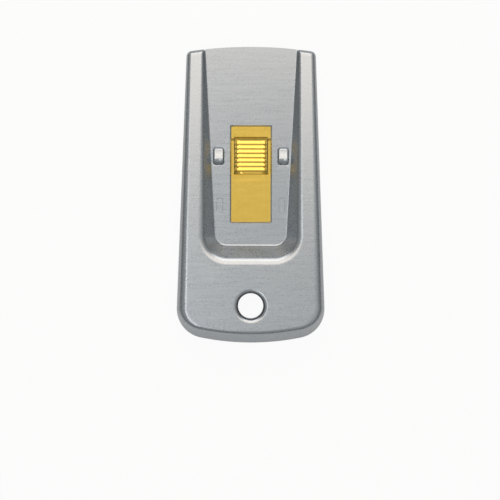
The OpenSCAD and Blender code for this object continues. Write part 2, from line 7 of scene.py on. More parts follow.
import math
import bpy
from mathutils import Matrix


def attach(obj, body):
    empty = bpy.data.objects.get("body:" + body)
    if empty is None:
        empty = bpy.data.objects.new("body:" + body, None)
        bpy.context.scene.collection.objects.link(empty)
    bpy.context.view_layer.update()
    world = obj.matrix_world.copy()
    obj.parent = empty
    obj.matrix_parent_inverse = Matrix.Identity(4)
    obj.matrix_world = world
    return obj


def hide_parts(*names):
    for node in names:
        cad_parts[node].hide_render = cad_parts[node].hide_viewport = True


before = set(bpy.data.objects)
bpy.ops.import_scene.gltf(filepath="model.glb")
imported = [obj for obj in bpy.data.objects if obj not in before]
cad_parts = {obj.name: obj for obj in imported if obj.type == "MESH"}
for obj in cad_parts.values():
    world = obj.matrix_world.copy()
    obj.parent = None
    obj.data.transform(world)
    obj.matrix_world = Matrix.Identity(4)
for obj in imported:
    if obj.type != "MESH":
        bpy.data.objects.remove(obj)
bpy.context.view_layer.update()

from types import SimpleNamespace

import bpy
import numpy as np
from mathutils import Vector
from mathutils.geometry import delaunay_2d_cdt

bl_info = {
    "name": "Razor blade scraper",
    "version": (1, 0, 0),
    "blender": (4, 5, 0),
    "location": "View3D > Sidebar > Scraper",
    "description": "Builds the sheet-metal pieces and the stage of a retractable scraper",
    "category": "Object",
}

MM = 0.001
# Points of two patches that lie within this distance are one point
WELD = 1e-7
# Twice the area, in square millimetres, of the smallest triangle that is kept
SLIVER = 1e-7
# Edges that turn by more than this are shaded sharp
SHARP_ANGLE = math.radians(32)

# Steps of the shell's stations: mouth corner, behind it, side, rear corner, half of the rear end
CORNER, FRONT, SIDE, BEND, REAR = 12, 6, 30, 24, 10
# Steps of its section: foot and crest of the panel's wall, outer fillet, bend into the lip
FOOT, CREST, FILLET, LIP = 8, 12, 12, 8
# Points across the mouth, down a coined pocket's slope and down the hang hole's rolled edge
MOUTH, POCKET, ROLL = 41, 9, 12
# Points round the hang hole in the shell, round the one in the back plate and round a rivet hole
HANG_ROUND, PLATE_ROUND, RIVET_ROUND = 96, 64, 32
# Points up a lug head's rounded edge and from there to its middle
HEAD_EDGE, HEAD_TOP = 9, 20
# Points along the grip's front face, a rib and the rear face, and across a rolled side and the top
FACE, RIB, TAIL, GRIP_ROLL, GRIP_TOP = 17, 15, 61, 17, 65
# Points round the spine's back and each of its front edges, and along its length
SPINE_BACK, SPINE_TIP, SPINE_LONG = 17, 9, 5

# Depth of the zone behind the mouth where the stations follow the mouth's arc
FRONT_ZONE = 6.0 * MM
# Corner radius of a punched hole
PUNCH_R = 0.2 * MM
# Width of a flat row that keeps the shading of a bend off the flat beside it
GUARD = 0.05 * MM
# Longest side in the loops of a lug head
HEAD_STEP = 0.15 * MM
# Share of the way from a lug head's outline to its middle that its rounded edge takes up
HEAD_ROUND = 0.2
# Place of a lug head's crest along it, from -1 at the rear to 1 at the mouth's side
HEAD_CREST = -0.25
# Heights of a lug head's front and rear ends as shares of the crest's
HEAD_FRONT, HEAD_REAR = 0.4, -0.05
RIBS = 7
# Share of the grip's height that its rolled sides come down
ROLL_SHARE = 0.9
# Shares of the grip's height: its first drop behind the ribs, and the hollow below the strip's face
RIDGE_SHARE, HOLLOW_SHARE = 0.1, 0.03
# Share of the half-width behind the ribs that stays level before the sides blend into the strip
LEVEL_SHARE = 0.45


def linear(code):
    """Linear RGBA of an sRGB hex colour."""
    srgb = np.array([int(code[i:i + 2], 16) for i in (1, 3, 5)]) / 255
    low = srgb <= 0.04045
    return (*np.where(low, srgb / 12.92, ((srgb + 0.055) / 1.055) ** 2.4).tolist(), 1.0)


def length(name, description, mm):
    """A length property with its default in millimetres."""
    return bpy.props.FloatProperty(
        name=name, description=description, default=mm * MM, unit="LENGTH", precision=5)


def slope(name, description, degrees):
    """An angle property with its default in degrees."""
    return bpy.props.FloatProperty(
        name=name, description=description, default=math.radians(degrees), subtype="ANGLE")


def colour(name, description, code):
    """A colour property with its default as an sRGB hex value."""
    return bpy.props.FloatVectorProperty(
        name=name, description=description, default=linear(code), size=4, min=0, max=1, subtype="COLOR")


class ScraperShell(bpy.types.PropertyGroup):
    """Sizes of the stamped front shell."""

    body_len: length("Length", "Rear end to the middle of the mouth", 100)
    mouth_w: length("Mouth width", "Width of the straight sides at the mouth", 43.6)
    rear_w: length("Rear width", "Width of the straight sides at the rear end", 50.9)
    mouth_r: length("Mouth radius", "Radius of the curved mouth edge", 142)
    rear_r: length("Rear radius", "Radius of the curved rear end", 85)
    mouth_corner_r: length("Mouth corner", "Plan radius of the mouth corners", 1.4)
    end_power: bpy.props.FloatProperty(
        name="Rim end", description="Steepness of the rims' front ends", default=2.2)
    rear_corner_r: length("Rear corner", "Plan radius of the rear corners", 10)
    sheet: length("Sheet", "Thickness of the steel sheet", 0.8)
    side_draft: slope("Side draft", "Lean of the side walls", 2)
    rear_draft: slope("Rear draft", "Lean of the rear wall", 18)
    fillet_mouth: length("Mouth fillet", "Radius between wall and rim at the mouth", 1.7)
    fillet_handle: length("Handle fillet", "Radius between wall and rim at the handle", 3.4)
    fillet_rear: length("Rear fillet", "Radius between the rear wall and the rim", 1.7)
    lip_bend: length("Lip bend", "Outer radius of the bend into the lip", 1.0)
    lip_w: length("Lip", "Reach of the lip under the back plate", 2.8)
    lip_corner_w: length("Corner lip", "Reach of the lip round the mouth corners", 1.24)
    panel_z: length("Panel height", "Height of the sunken panel's face", 4.3)
    rim_rise: length("Rim rise", "Height of the rim above the panel at the mouth", 1.0)
    rim_slope: bpy.props.FloatProperty(
        name="Rim slope", description="Climb of the rim towards the rear", default=0.055)
    trough_hw: length("Trough half-width", "Half-width between the rims at the mouth", 17.1)
    trough_flare: length("Trough flare", "Widening of that space towards the rear", 0.9)
    trough_rear: length("Trough end", "Where the flat rim begins behind the panel", -24.1)
    trough_corner_r: length("Trough corner", "Plan radius of the trough's rear corners", 10)
    trough_side: slope("Trough side", "Slope of the panel's side walls", 46)
    trough_back: slope("Trough back", "Slope of the panel's rear wall", 43)
    crest_mouth: length("Mouth crest", "Radius at the top of the panel's walls at the mouth", 1.3)
    crest_side: length("Side crest", "Radius at the top of the side walls at the rear", 4.0)
    crest_rear: length("Rear crest", "Radius at the top of the rear wall", 4.2)
    foot_r: length("Foot", "Radius at the foot of the panel's walls", 0.7)
    window_w: length("Window width", "Width of the thumb window", 13.35)
    window_front: length("Window front", "Front end of the thumb window", 23.1)
    window_rear: length("Window rear", "Rear end of the thumb window", -9.16)
    window_r: length("Window corner", "Corner radius of the thumb window", 0.2)
    edge_r: length("Cut edge", "Roundness of a punched edge", 0.12)
    bevel_w: length("Window bevel", "Width of the window's drawn-in edge", 0.42)
    bevel_h: length("Window bevel depth", "Depth of the window's drawn-in edge", 0.42)
    pocket: length("Pocket", "Depth of the coined pocket round a lug head", 0.32)
    pocket_w: length("Pocket slope", "Width of the coined pocket's slope outside a lug head", 0.4)
    dimple_x: length("Dimple place", "Middle of a guide dimple from the centre line", 10.5)
    dimple_y: length("Dimple along", "Middle of a guide dimple along the body", -3.5)
    dimple_w: length("Dimple width", "Width of a guide dimple", 2.0)
    dimple_len: length("Dimple length", "Length of a guide dimple", 4.9)
    dimple_r: length("Dimple corner", "Corner radius of a guide dimple", 0.7)
    dimple_depth: length("Dimple depth", "Depth of a guide dimple", 0.15)
    dimple_in: length("Dimple slope", "How far a dimple's slope runs inwards from its outline", 0.06)
    dimple_out: length("Dimple edge", "How far a dimple's slope starts outside its outline", 0.03)
    hang_y: length("Hang hole along", "Middle of the hang hole along the body", -37.5)
    hang_r: length("Hang hole", "Radius of the hang hole", 4.25)
    hang_roll: length("Rolled edge", "Radius of the hang hole's rolled edge", 1.7)
    hang_drop: length("Rolled depth", "Depth of the hang hole's rolled edge", 2.0)


class ScraperInside(bpy.types.PropertyGroup):
    """Sizes of the pieces that the shell holds."""

    plate_z: length("Plate height", "Height of the back plate's underside", 0.8)
    plate_t: length("Plate sheet", "Thickness of the back plate", 0.8)
    plate_clear: length("Plate room", "Room round the back plate", 0.2)
    lug_x: length("Lug place", "Inner face of a lug from the centre line", 9.8)
    lug_y: length("Lug along", "Middle of a lug along the body", 13.0)
    lug_len: length("Lug length", "Length of a lug's shank", 4.6)
    slot_clear: length("Slot room", "Room of a lug in its slot", 0.1)
    head_x: length("Head place", "Middle of a clinched head from the centre line", 10.9)
    head_w: length("Head width", "Width of a clinched lug head", 3.2)
    head_len: length("Head length", "Length of a clinched lug head", 5.45)
    head_h: length("Head height", "Height of a clinched lug head", 0.9)
    head_r: length("Head corner", "Corner radius of a clinched lug head", 0.7)
    head_cup: length("Head cup", "Depth of the hollow across the rear half of a lug head", 0.35)
    strip_top: length("Strip height", "Height of the slide's upper face", 3.4)
    strip_t: length("Strip sheet", "Thickness of the slide", 0.6)
    strip_w: length("Strip width", "Width of the slide's strip", 19.3)
    strip_back: length("Strip end", "Rear end of the slide's strip", -19.4)
    arm_w: length("Head plate", "Width of the slide's head over the blade", 35.1)
    arm_back: length("Head plate back", "Rear edge of the slide's head", 28.2)
    arm_front: length("Head plate front", "Front edge of the slide's head", 36.6)
    grip_front: length("Grip front", "Front foot of the ribbed grip", 19.6)
    grip_rise: length("Grip rise", "Height of the grip above the strip", 1.6)
    grip_crown: length("Grip crown", "Drop of the grip's top towards both sides", 0.06)
    grip_tilt: slope("Grip tilt", "Climb of the grip's top towards the rear", 3.0)
    grip_w: length("Grip width", "Width of the ribs' level tops", 8.8)
    valley_w: length("Valley width", "Width of the level part of the valleys between ribs", 6.4)
    grip_side: length("Grip side", "Width of the rolled-down sides at the ribs", 1.3)
    grip_slit: length("Grip slit", "Width of the lanced slits beside the grip", 0.05)
    rib_start: length("First rib", "Front of the first rib", 18.2)
    rib_pitch: length("Rib pitch", "Distance between ribs", 1.49)
    rib_h: length("Rib height", "Height of a rib above its valleys", 0.2)
    rib_lean: bpy.props.FloatProperty(
        name="Rib lean", description="Share of a rib that faces the mouth", default=0.6)
    side_dip: length("Side dip", "How far the strip beside the grip is pressed down", 0.6)
    dip_front: length("Dip front", "Front end of the strip's pressed-down sides", 19.2)
    dip_rear: length("Dip rear", "Rear end of the strip's pressed-down sides", 6.8)
    dip_run: length("Dip slope", "Length of the slope at the front of the pressed-down sides", 0.9)
    dip_step: length("Dip step", "Length of the step at the rear of the pressed-down sides", 0.1)
    tail_end: length("Grip end", "Where the hollow behind the grip runs out", 3.9)
    tail_half: length("Grip end half-width", "Half-width of the grip where it joins the strip", 6.75)
    tail_join: length("Grip join", "Where the slits end and the grip joins the strip", 6.1)
    flare_start: length("Flare", "Where the grip starts to widen behind the ribs", 7.7)
    flare_run: length("Flare length", "Length over which the grip widens", 1.9)
    blend_start: length("Blend", "Where the grip's sides start to blend into the strip", 7.9)
    blend_run: length("Blend length", "Length over which the sides blend into the strip", 1.8)
    ridge_fall: length("Ridge step", "Length of the first drop behind the ribs", 0.1)
    ridge_len: length("Ridge", "Distance from the ribs to the drop behind the ridge", 0.6)
    back_run: length("Rear face", "Length of the drop behind the ridge", 0.38)
    hollow_start: length("Hollow", "Distance from the ribs to where the hollow starts to run out", 1.5)
    hollow_run: length("Hollow length", "Length over which the hollow runs out", 2.2)
    leaf_rivet: length("Leaf rivet", "Place of the detent leaf's rivet along the body", -16.4)
    leaf_len: length("Leaf length", "Detent leaf from its rivet to its nose", 7.5)
    travel_rear: length("Travel back", "How far the slide moves back from rest", 12.4)
    travel_front: length("Travel forward", "How far the slide moves forward from rest", 3.4)
    notch_w: length("Notch width", "Width of a detent notch in the back plate", 5.6)
    notch_len: length("Notch length", "Length of a detent notch in the back plate", 2.4)
    foot_x: length("Fork rivet place", "A fork rivet from the centre line", 8.35)
    foot_y: length("Fork rivet along", "A fork rivet along the body", 26.9)
    sink_r: length("Countersink", "Radius of a rivet hole at the slide's upper face", 1.08)
    rivet_r: length("Rivet hole", "Radius of a rivet hole at the slide's lower face", 0.68)
    spine_back: length("Spine back", "Back of the blade's spine", 29.5)
    spine_w: length("Spine width", "Width of the blade's folded spine", 5.0)
    spine_z: length("Spine height", "Height of the spine's underside", 1.7)
    spine_t: length("Spine thickness", "Thickness of the folded spine", 1.0)
    fold_depth: length("Spine fold", "Distance from the spine's back to the blade in its fold", 0.6)
    blade_len: length("Blade length", "Length of the blade", 38.1)
    blade_t: length("Blade thickness", "Thickness of the blade", 0.25)


class ScraperColours(bpy.types.PropertyGroup):
    """Colours of the metals and of the stage."""

    steel_light: colour("Plated steel, light", "Light brush lines of the plated steel", "#b5bbc0")
    steel_dark: colour("Plated steel, dark", "Dark brush lines of the plated steel", "#acb2b8")
    brass: colour("Brass plate", "Bright brass plate of the slide", "#f9d35d")
    brass_deep: colour("Brass plate, deep", "Deeper tone in the brass plate", "#f4cb54")
    spring: colour("Spring steel", "Tempered spring steel", "#9398a0")
    blade: colour("Blade steel", "Polished blade steel", "#dfe3e6")
    spine: colour("Spine steel", "Rolled steel of the blade's spine", "#b0b4b9")
    floor: colour("Floor", "Pale studio floor", "#d4d4d3")


def mix(a, b, k):
    """The value k of the way from a to b."""
    return a + (b - a) * k


def smooth(k):
    """Smooth step from 0 to 1 as k goes from 0 to 1."""
    k = np.clip(k, 0, 1)
    return k * k * (3 - 2 * k)


def grid_faces(rows, cols):
    """Triangles of a grid of rows by cols points, whose row direction x column direction is out."""
    a = (np.arange(rows - 1)[:, None] * cols + np.arange(cols - 1)).reshape(-1, 1)
    return np.concatenate([a + [0, cols, cols + 1], a + [0, cols + 1, 1]])


def ring_faces(rows, count):
    """Triangles between anticlockwise loops of count points, each loop a row, the outer one first."""
    i = np.arange(count)
    a = np.arange(rows - 1)[:, None] * count
    here, after = (a + i).reshape(-1, 1), (a + (i + 1) % count).reshape(-1, 1)
    return np.concatenate([
        np.hstack([here, after, after + count]), np.hstack([here, after + count, here + count])])


def fill(loops):
    """Triangles of a flat region: the first loop is its outline and the others are its holes.

    The loops are arrays of plan points, and the triangles index their points in order. A triangle
    belongs to the region where a line from its middle towards +X crosses an odd number of loop edges."""
    points = np.concatenate(loops)[:, :2] / MM
    starts = np.cumsum([0] + [len(p) for p in loops])
    edges = np.concatenate([
        np.stack([np.arange(len(p)), np.roll(np.arange(len(p)), -1)], 1) + start
        for p, start in zip(loops, starts)])
    made = delaunay_2d_cdt(points.tolist(), edges.tolist(), [], 0, 1e-6)
    origin = np.array([found[0] for found in made[3]])
    faces = origin[np.array(made[2])]
    middle = points[faces].mean(1)[:, None]
    p, q = points[edges[:, 0]], points[edges[:, 1]]
    spans = (p[:, 1] > middle[..., 1]) != (q[:, 1] > middle[..., 1])
    level = np.where(p[:, 1] == q[:, 1], 1.0, q[:, 1] - p[:, 1])
    cut = p[:, 0] + (middle[..., 1] - p[:, 1]) / level * (q[:, 0] - p[:, 0])
    faces = faces[(spans & (middle[..., 0] < cut)).sum(1) % 2 == 1]
    a, b, c = (points[faces[:, k]] for k in range(3))
    turn = (b[:, 0] - a[:, 0]) * (c[:, 1] - a[:, 1]) - (b[:, 1] - a[:, 1]) * (c[:, 0] - a[:, 0])
    faces[turn < 0] = faces[turn < 0][:, ::-1]
    return faces[np.abs(turn) > SLIVER]


def rounded_loop(width, long, r, grow=0.0, steps=10):
    """Anticlockwise plan points of a rounded rectangle about the origin, grown by an offset.

    Each corner is a quarter circle of radius r + grow about its own centre."""
    angle = np.linspace(0, math.pi / 2, steps)
    turns = np.concatenate([angle + quarter * math.pi / 2 for quarter in range(4)])
    x = np.repeat([1, -1, -1, 1], steps) * (width / 2 - r) + (r + grow) * np.cos(turns)
    y = np.repeat([1, 1, -1, -1], steps) * (long / 2 - r) + (r + grow) * np.sin(turns)
    return np.stack([x, y], 1)


def circle(count):
    """Anticlockwise points of the unit circle."""
    angle = np.linspace(0, 2 * math.pi, count + 1)[:-1]
    return np.stack([np.cos(angle), np.sin(angle)], 1)


def dense(loop, step):
    """A closed loop with points added along it, so that no side is longer than a step."""
    ends = np.roll(loop, -1, 0)
    counts = np.ceil(np.hypot(*(ends - loop).T) / step).astype(int)
    return np.concatenate([
        mix(a, b, np.linspace(0, 1, count + 1)[:-1, None]) for a, b, count in zip(loop, ends, counts)])


def flat(plan, z):
    """Plan points raised to a height, which may differ from point to point."""
    return np.column_stack([plan[:, 0], plan[:, 1], np.broadcast_to(z, len(plan))])


def welded(points, faces):
    """Points that lie together made one, without the triangles that this flattens.

    Returns the index of the first point at each place, and the triangles of those places."""
    _, first, placed = np.unique(
        np.round(points / WELD).astype(np.int64), axis=0, return_index=True, return_inverse=True)
    faces = placed.reshape(-1)[faces]
    distinct = (faces[:, 0] != faces[:, 1]) & (faces[:, 1] != faces[:, 2]) & (faces[:, 2] != faces[:, 0])
    return first, faces[distinct]


class Sheet:
    """A piece of sheet metal, gathered as patches of its upper face with the lower face beneath."""

    def __init__(self):
        self.upper, self.lower, self.faces, self.count = [], [], [], 0

    def add(self, upper, lower, faces):
        """Adds a patch: its points on both faces and the triangles of the upper face."""
        self.upper.append(np.asarray(upper).reshape(-1, 3))
        self.lower.append(np.asarray(lower).reshape(-1, 3))
        self.faces.append(np.asarray(faces) + self.count)
        self.count += len(self.upper[-1])

    def add_flat(self, loops, top, under):
        """Adds a flat patch between two heights: the first loop is its outline, the others its holes."""
        plan = np.concatenate(loops)
        self.add(flat(plan, top), flat(plan, under), fill(loops))

    def closed(self):
        """Points and triangles of the closed sheet.

        Patches are welded where their upper points meet. The lower face is the same triangles turned
        over, and every open edge of the upper face gets a wall down to the lower face."""
        upper, lower = np.concatenate(self.upper), np.concatenate(self.lower)
        first, faces = welded(upper, np.concatenate(self.faces))
        upper, lower = upper[first], lower[first]
        n = len(upper)
        edges = np.concatenate([faces[:, [0, 1]], faces[:, [1, 2]], faces[:, [2, 0]]])
        open_edges = edges[~np.isin(edges[:, 0] * n + edges[:, 1], edges[:, 1] * n + edges[:, 0])]
        a, b = open_edges[:, :1], open_edges[:, 1:]
        walls = np.concatenate([np.hstack([b, a, a + n]), np.hstack([b, a + n, b + n])])
        return np.concatenate([upper, lower]), np.concatenate([faces, faces[:, ::-1] + n, walls])


def joined(*parts):
    """Several closed shapes, given as points and triangles, as one."""
    counts = np.cumsum([0] + [len(points) for points, _ in parts])
    return (np.concatenate([points for points, _ in parts]),
            np.concatenate([faces + start for (_, faces), start in zip(parts, counts)]))


def mirrored(shape):
    """The same closed shape on the other side of the plane X = 0, turned the right way out."""
    points, faces = shape
    return points * [-1, 1, 1], faces[:, ::-1]


def place(name, shape, material, body, node):
    """Makes a shaded piece of points and triangles that rides on a body and stands for a CAD node."""
    points, faces = shape
    mesh = bpy.data.meshes.new(name)
    mesh.from_pydata(points.tolist(), [], faces.tolist())
    mesh.polygons.foreach_set("use_smooth", np.ones(len(mesh.polygons), bool))
    mesh.set_sharp_from_angle(angle=SHARP_ANGLE)
    mesh.materials.append(material)
    piece = bpy.data.objects.new(name, mesh)
    bpy.context.scene.collection.objects.link(piece)
    weighted = piece.modifiers.new("even_shading", "WEIGHTED_NORMAL")
    weighted.keep_sharp = True
    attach(piece, body)
    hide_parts(node)


def mouth_edge(s, x, back):
    """Arc of the mouth moved back: y = body_len / 2 - back - mouth_r + sqrt(mouth_r^2 - x^2)."""
    return s.body_len / 2 - back - s.mouth_r + np.sqrt(s.mouth_r ** 2 - x ** 2)


def rim_z(s, y):
    """Height of the flat rim, which climbs evenly from the mouth to the rear."""
    return s.panel_z + s.rim_rise + s.rim_slope * (s.body_len / 2 - y)


def outline_stations(s, turn, back):
    """Outline points with their outward normals at every station, and where the straight side ends.

    The side is x = a - b y, and the rear corner is the circle that touches it and the rear arc inside."""
    mouth_y = s.body_len / 2
    b = (s.rear_w - s.mouth_w) / 2 / s.body_len
    a = s.mouth_w / 2 + b * mouth_y
    norm = math.hypot(1, b)
    cy = s.rear_r - mouth_y
    r = s.rear_corner_r
    c = a - r * norm
    half_q = b * c + cy
    q = c * c + cy * cy - (s.rear_r - r) ** 2
    ry = (half_q - math.sqrt(half_q ** 2 - norm ** 2 * q)) / norm ** 2
    rx = c - b * ry
    first, last = math.atan2(b, 1), math.atan2(ry - cy, rx)
    side_end = ry + r * math.sin(first)

    x = a - b * mouth_edge(s, s.mouth_w / 2, back) - s.mouth_corner_r * (1 - np.sin(turn))
    corner = np.stack([x, mouth_edge(s, x, back), np.sin(turn), np.cos(turn)])
    y = np.linspace(corner[1, -1], side_end, SIDE + 1)[1:]
    side = np.stack([a - b * y, y, np.full(SIDE, 1 / norm), np.full(SIDE, b / norm)])
    t = np.linspace(first, last, BEND + 1)[1:]
    bend = np.stack([rx + r * np.cos(t), ry + r * np.sin(t), np.cos(t), np.sin(t)])
    t = np.linspace(last, -math.pi / 2, REAR + 1)[1:]
    rear = np.stack([s.rear_r * np.cos(t), cy + s.rear_r * np.sin(t), np.cos(t), np.sin(t)])
    return np.concatenate([corner, side, bend, rear], 1), side_end


def trough_stations(s, back):
    """Points of the rim's edge round the panel with their normals into the panel, at every station.

    The edge widens evenly behind the mouth, turns a quarter circle and runs straight across."""
    mouth_y = s.body_len / 2
    r = s.trough_corner_r
    bend_y = s.trough_rear + r
    y = mouth_edge(s, s.trough_hw, back)
    y = np.concatenate([y, np.linspace(y[-1], bend_y, SIDE + 1)[1:]])
    widen = s.trough_flare / (mouth_y - s.trough_rear)
    x = s.trough_hw + widen * (mouth_y - y)
    side = np.stack([x, y, np.full(len(x), -1.0), np.zeros(len(x))])
    t = -math.pi / 2 * np.linspace(0, 1, BEND + 1)[1:]
    cx = x[-1] - r
    turned = np.stack([cx + r * np.cos(t), bend_y + r * np.sin(t), -np.cos(t), -np.sin(t)])
    x = cx * np.linspace(1, 0, REAR + 1)[1:]
    across = np.stack([x, np.full(REAR, s.trough_rear), np.zeros(REAR), np.ones(REAR)])
    return np.concatenate([side, turned, across], 1)


def shell_stations(s):
    """Stations from the right mouth corner along the side to the middle of the rear end.

    Each has a point of the outline with its outward normal, a point of the rim's edge round the panel
    with its normal into the panel, its distance behind the mouth and how far the rim has risen."""
    turn = np.concatenate([np.linspace(0, math.pi / 2, CORNER + 1), np.full(FRONT, math.pi / 2)])
    back = np.concatenate([
        s.mouth_corner_r * (1 - np.cos(turn[:CORNER + 1])),
        np.linspace(s.mouth_corner_r, FRONT_ZONE, FRONT + 1)[1:]])
    outline, side_end = outline_stations(s, turn, back)
    station = np.arange(outline.shape[1])[:, None]
    more = len(station) - len(back)
    return SimpleNamespace(
        outline=outline, trough=trough_stations(s, back), side_end=side_end,
        back=np.concatenate([back, np.zeros(more)])[:, None],
        front=station <= CORNER + FRONT, corner=station < CORNER,
        rise=np.concatenate([1 - np.cos(turn) ** s.end_power, np.ones(more)])[:, None])


def along(s, st, y):
    """Share of the way along the side, 0 at the mouth and 1 at the rear corner."""
    return np.clip((s.body_len / 2 - y) / (s.body_len / 2 - st.side_end), 0, 1)


def trough_section(s, st, inset):
    """Panel wall at every station: a foot arc, a straight slope and a crest arc, from the panel up.

    The slope stands at its angle, and its run is height / tan(angle) plus the two arcs' tangent lengths.
    An inset of 0 is the outer face, and an inset of the sheet's thickness is the inner one."""
    x, y, nx, ny = (v[:, None] for v in st.trough)
    rear = np.abs(ny)
    top = rim_z(s, y)
    angle = mix(s.trough_side, s.trough_back, rear)
    crest_r = mix(mix(s.crest_mouth, s.crest_side, along(s, st, y)), s.crest_rear, rear)
    run = (top - s.panel_z) / np.tan(angle) + (crest_r + s.foot_r) * np.tan(angle / 2)
    up = angle * np.linspace(0, 1, FOOT + 1)
    over = angle * np.linspace(1, 0, CREST + 1)
    w = np.hstack([run - (s.foot_r + inset) * np.sin(up), (crest_r - inset) * np.sin(over)])
    foot_z = s.panel_z + s.foot_r - (s.foot_r + inset) * np.cos(up)
    crest_z = top - crest_r + (crest_r - inset) * np.cos(over)
    z = np.hstack([foot_z, crest_z])
    px = x + nx * w
    py = np.where(st.front, mouth_edge(s, px, st.back), y + ny * w)
    return np.stack([px, py, mix(s.panel_z - inset, z, st.rise)], 2)


def wall_draft(s, st):
    """Lean of the outer wall: the side's, the rear's at the rear end, upright where it faces forward."""
    nx, ny = st.outline[2][:, None], st.outline[3][:, None]
    return np.where(st.corner, s.side_draft * nx, mix(s.side_draft, s.rear_draft, np.clip(-ny, 0, 1)))


def wall_lean(s, z, draft):
    """Inset from the outline, at a height, of a wall that leaves the lip's bend at its draft."""
    return (z - s.lip_bend) * np.tan(draft) + s.lip_bend * (1 - 1 / np.cos(draft))


def wall_section(s, st, inset):
    """Outer wall at every station: a fillet from the rim, the leaning wall, a bend and the lip's tip."""
    x, y, nx, ny = (v[:, None] for v in st.outline)
    draft = wall_draft(s, st)
    r = mix(mix(s.fillet_mouth, s.fillet_handle, along(s, st, y)), s.fillet_rear, np.clip(-ny, 0, 1))
    reach = wall_lean(s, rim_z(s, y) - r, draft) + r / np.cos(draft)
    top = rim_z(s, y - np.minimum(ny, 0) * reach)
    centre = wall_lean(s, top - r, draft) + r / np.cos(draft)
    over = (math.pi / 2 - draft) * np.linspace(0, 1, FILLET + 1)
    under = mix(math.pi - draft, math.pi * 1.5, np.linspace(0, 1, LIP + 1))
    lip = mix(s.lip_corner_w, s.lip_w, np.clip((s.body_len / 2 - y) / FRONT_ZONE - 1, 0, 1))
    fillet_d, fillet_z = centre - (r - inset) * np.sin(over), top - r + (r - inset) * np.cos(over)
    bend_d, bend_z = (s.lip_bend + (s.lip_bend - inset) * f(under) for f in (np.cos, np.sin))
    d = np.hstack([fillet_d, bend_d, lip])
    z = np.hstack([fillet_z, bend_z, np.full_like(lip, inset)])
    base = s.panel_z - inset
    raised = st.corner & (z > base) & (np.arange(d.shape[1]) <= FILLET)
    px = np.where(raised, x - d, x - nx * d)
    py = np.where(raised, mouth_edge(s, px, st.back), y - ny * d)
    return np.stack([px, py, np.where(raised, mix(base, z, st.rise), z)], 2)


def shell_sections(s, st, inset):
    """Sections at all stations, from the right mouth corner round the rear end to the left one."""
    half = np.concatenate([trough_section(s, st, inset), wall_section(s, st, inset)], 1)
    return np.concatenate([half, half[-2::-1] * [-1, 1, 1]])


def pressed(sheet, loops, top, under, follow):
    """Edge of a punched or pressed form: loops with their drops below the upper face.

    The lower face rises by follow times the drop: 1 rounds a cut edge from both sides and 0 leaves the
    underside flat."""
    upper = np.concatenate([flat(plan, top - drop) for plan, drop in loops])
    lower = np.concatenate([flat(plan, under + follow * drop) for plan, drop in loops])
    sheet.add(upper, lower, ring_faces(len(loops), len(loops[0][0])))


def edge_loops(plan_of, r, steps=4):
    """Loops of a punched edge, a quarter turn t: plan_of(r (1 - sin t)) at a drop of r (1 - cos t)."""
    t = np.linspace(0, math.pi / 2, steps)
    return [(plan_of(r * (1 - math.sin(k))), r * (1 - math.cos(k))) for k in t]


def both_sides(loops):
    """The loops of a form on the +X side with their drops, and those of its mirror image."""
    return [loops, [(plan[::-1] * [-1, 1], drop) for plan, drop in loops]]


def add_panel(skin, s, inside, border):
    """Adds the sunken panel inside its border, with its window, dimples, lug pockets and slots."""
    centre = [0, (s.window_front + s.window_rear) / 2]
    long = s.window_front - s.window_rear
    window = [(rounded_loop(s.window_w + 2 * grow, long + 2 * grow, s.window_r) + centre, drop)
              for grow, drop in ((s.bevel_w, 0.0), (0.0, s.bevel_h))]
    dimple_at = [s.dimple_x, s.dimple_y]
    dimples = both_sides([
        (rounded_loop(s.dimple_w, s.dimple_len, s.dimple_r, grow) + dimple_at, drop)
        for grow, drop in ((s.dimple_out, 0.0), (-s.dimple_in, s.dimple_depth))])
    t = np.linspace(0, 1, POCKET)
    head_at = [inside.head_x, inside.lug_y]
    pockets = both_sides([
        (rounded_loop(inside.head_w, inside.head_len, inside.head_r, grow) + head_at, drop)
        for grow, drop in zip(mix(s.pocket_w, -s.edge_r, t), s.pocket * smooth(t))])
    slot_w = inside.plate_t + 2 * inside.slot_clear
    slot_len = inside.lug_len + 2 * inside.slot_clear
    slot_at = [inside.lug_x + inside.plate_t / 2, inside.lug_y]
    slots = both_sides(edge_loops(
        lambda grow: rounded_loop(slot_w, slot_len, s.edge_r, grow) + slot_at, s.edge_r))

    under = s.panel_z - s.sheet
    holes = [hole[0][0] for hole in (window, *dimples, *pockets)]
    skin.add_flat([border, *holes], s.panel_z, under)
    pressed(skin, window, s.panel_z, under, 0)
    for dimple in dimples:
        pressed(skin, dimple, s.panel_z, under, 0)
        floor, drop = dimple[-1]
        skin.add_flat([floor], s.panel_z - drop, under)
    for pocket, slot in zip(pockets, slots):
        pressed(skin, pocket, s.panel_z, under, 0)
        skin.add_flat([pocket[-1][0], slot[0][0]], s.panel_z - s.pocket, under)
        pressed(skin, slot, s.panel_z - s.pocket, under, 1)


def add_rim(skin, s, band):
    """Adds the flat rim inside its band, and the hang hole's rolled edge.

    The edge is a quarter circle turned round the hole, then a short sleeve. On the lower face the
    circle is smaller by the sheet's thickness."""
    ring = circle(HANG_ROUND)
    t = np.linspace(0, math.pi / 2, ROLL)

    def turned(r, inset):
        grows = np.append(s.hang_roll - r * np.sin(t), inset)
        drops = np.append(inset + r * (1 - np.cos(t)), s.hang_drop)
        plan = np.concatenate([ring * (s.hang_r + grow) + [0, s.hang_y] for grow in grows])
        return flat(plan, rim_z(s, plan[:, 1]) - np.repeat(drops, len(ring)))

    rolled = turned(s.hang_roll, 0.0)
    skin.add(rolled, turned(s.hang_roll - s.sheet, s.sheet), ring_faces(ROLL + 1, len(ring)))
    upper = np.concatenate([band, rolled[:len(ring)]])
    faces = fill([band, rolled[:len(ring)]])
    skin.add(upper, flat(upper, rim_z(s, upper[:, 1]) - s.sheet), faces)


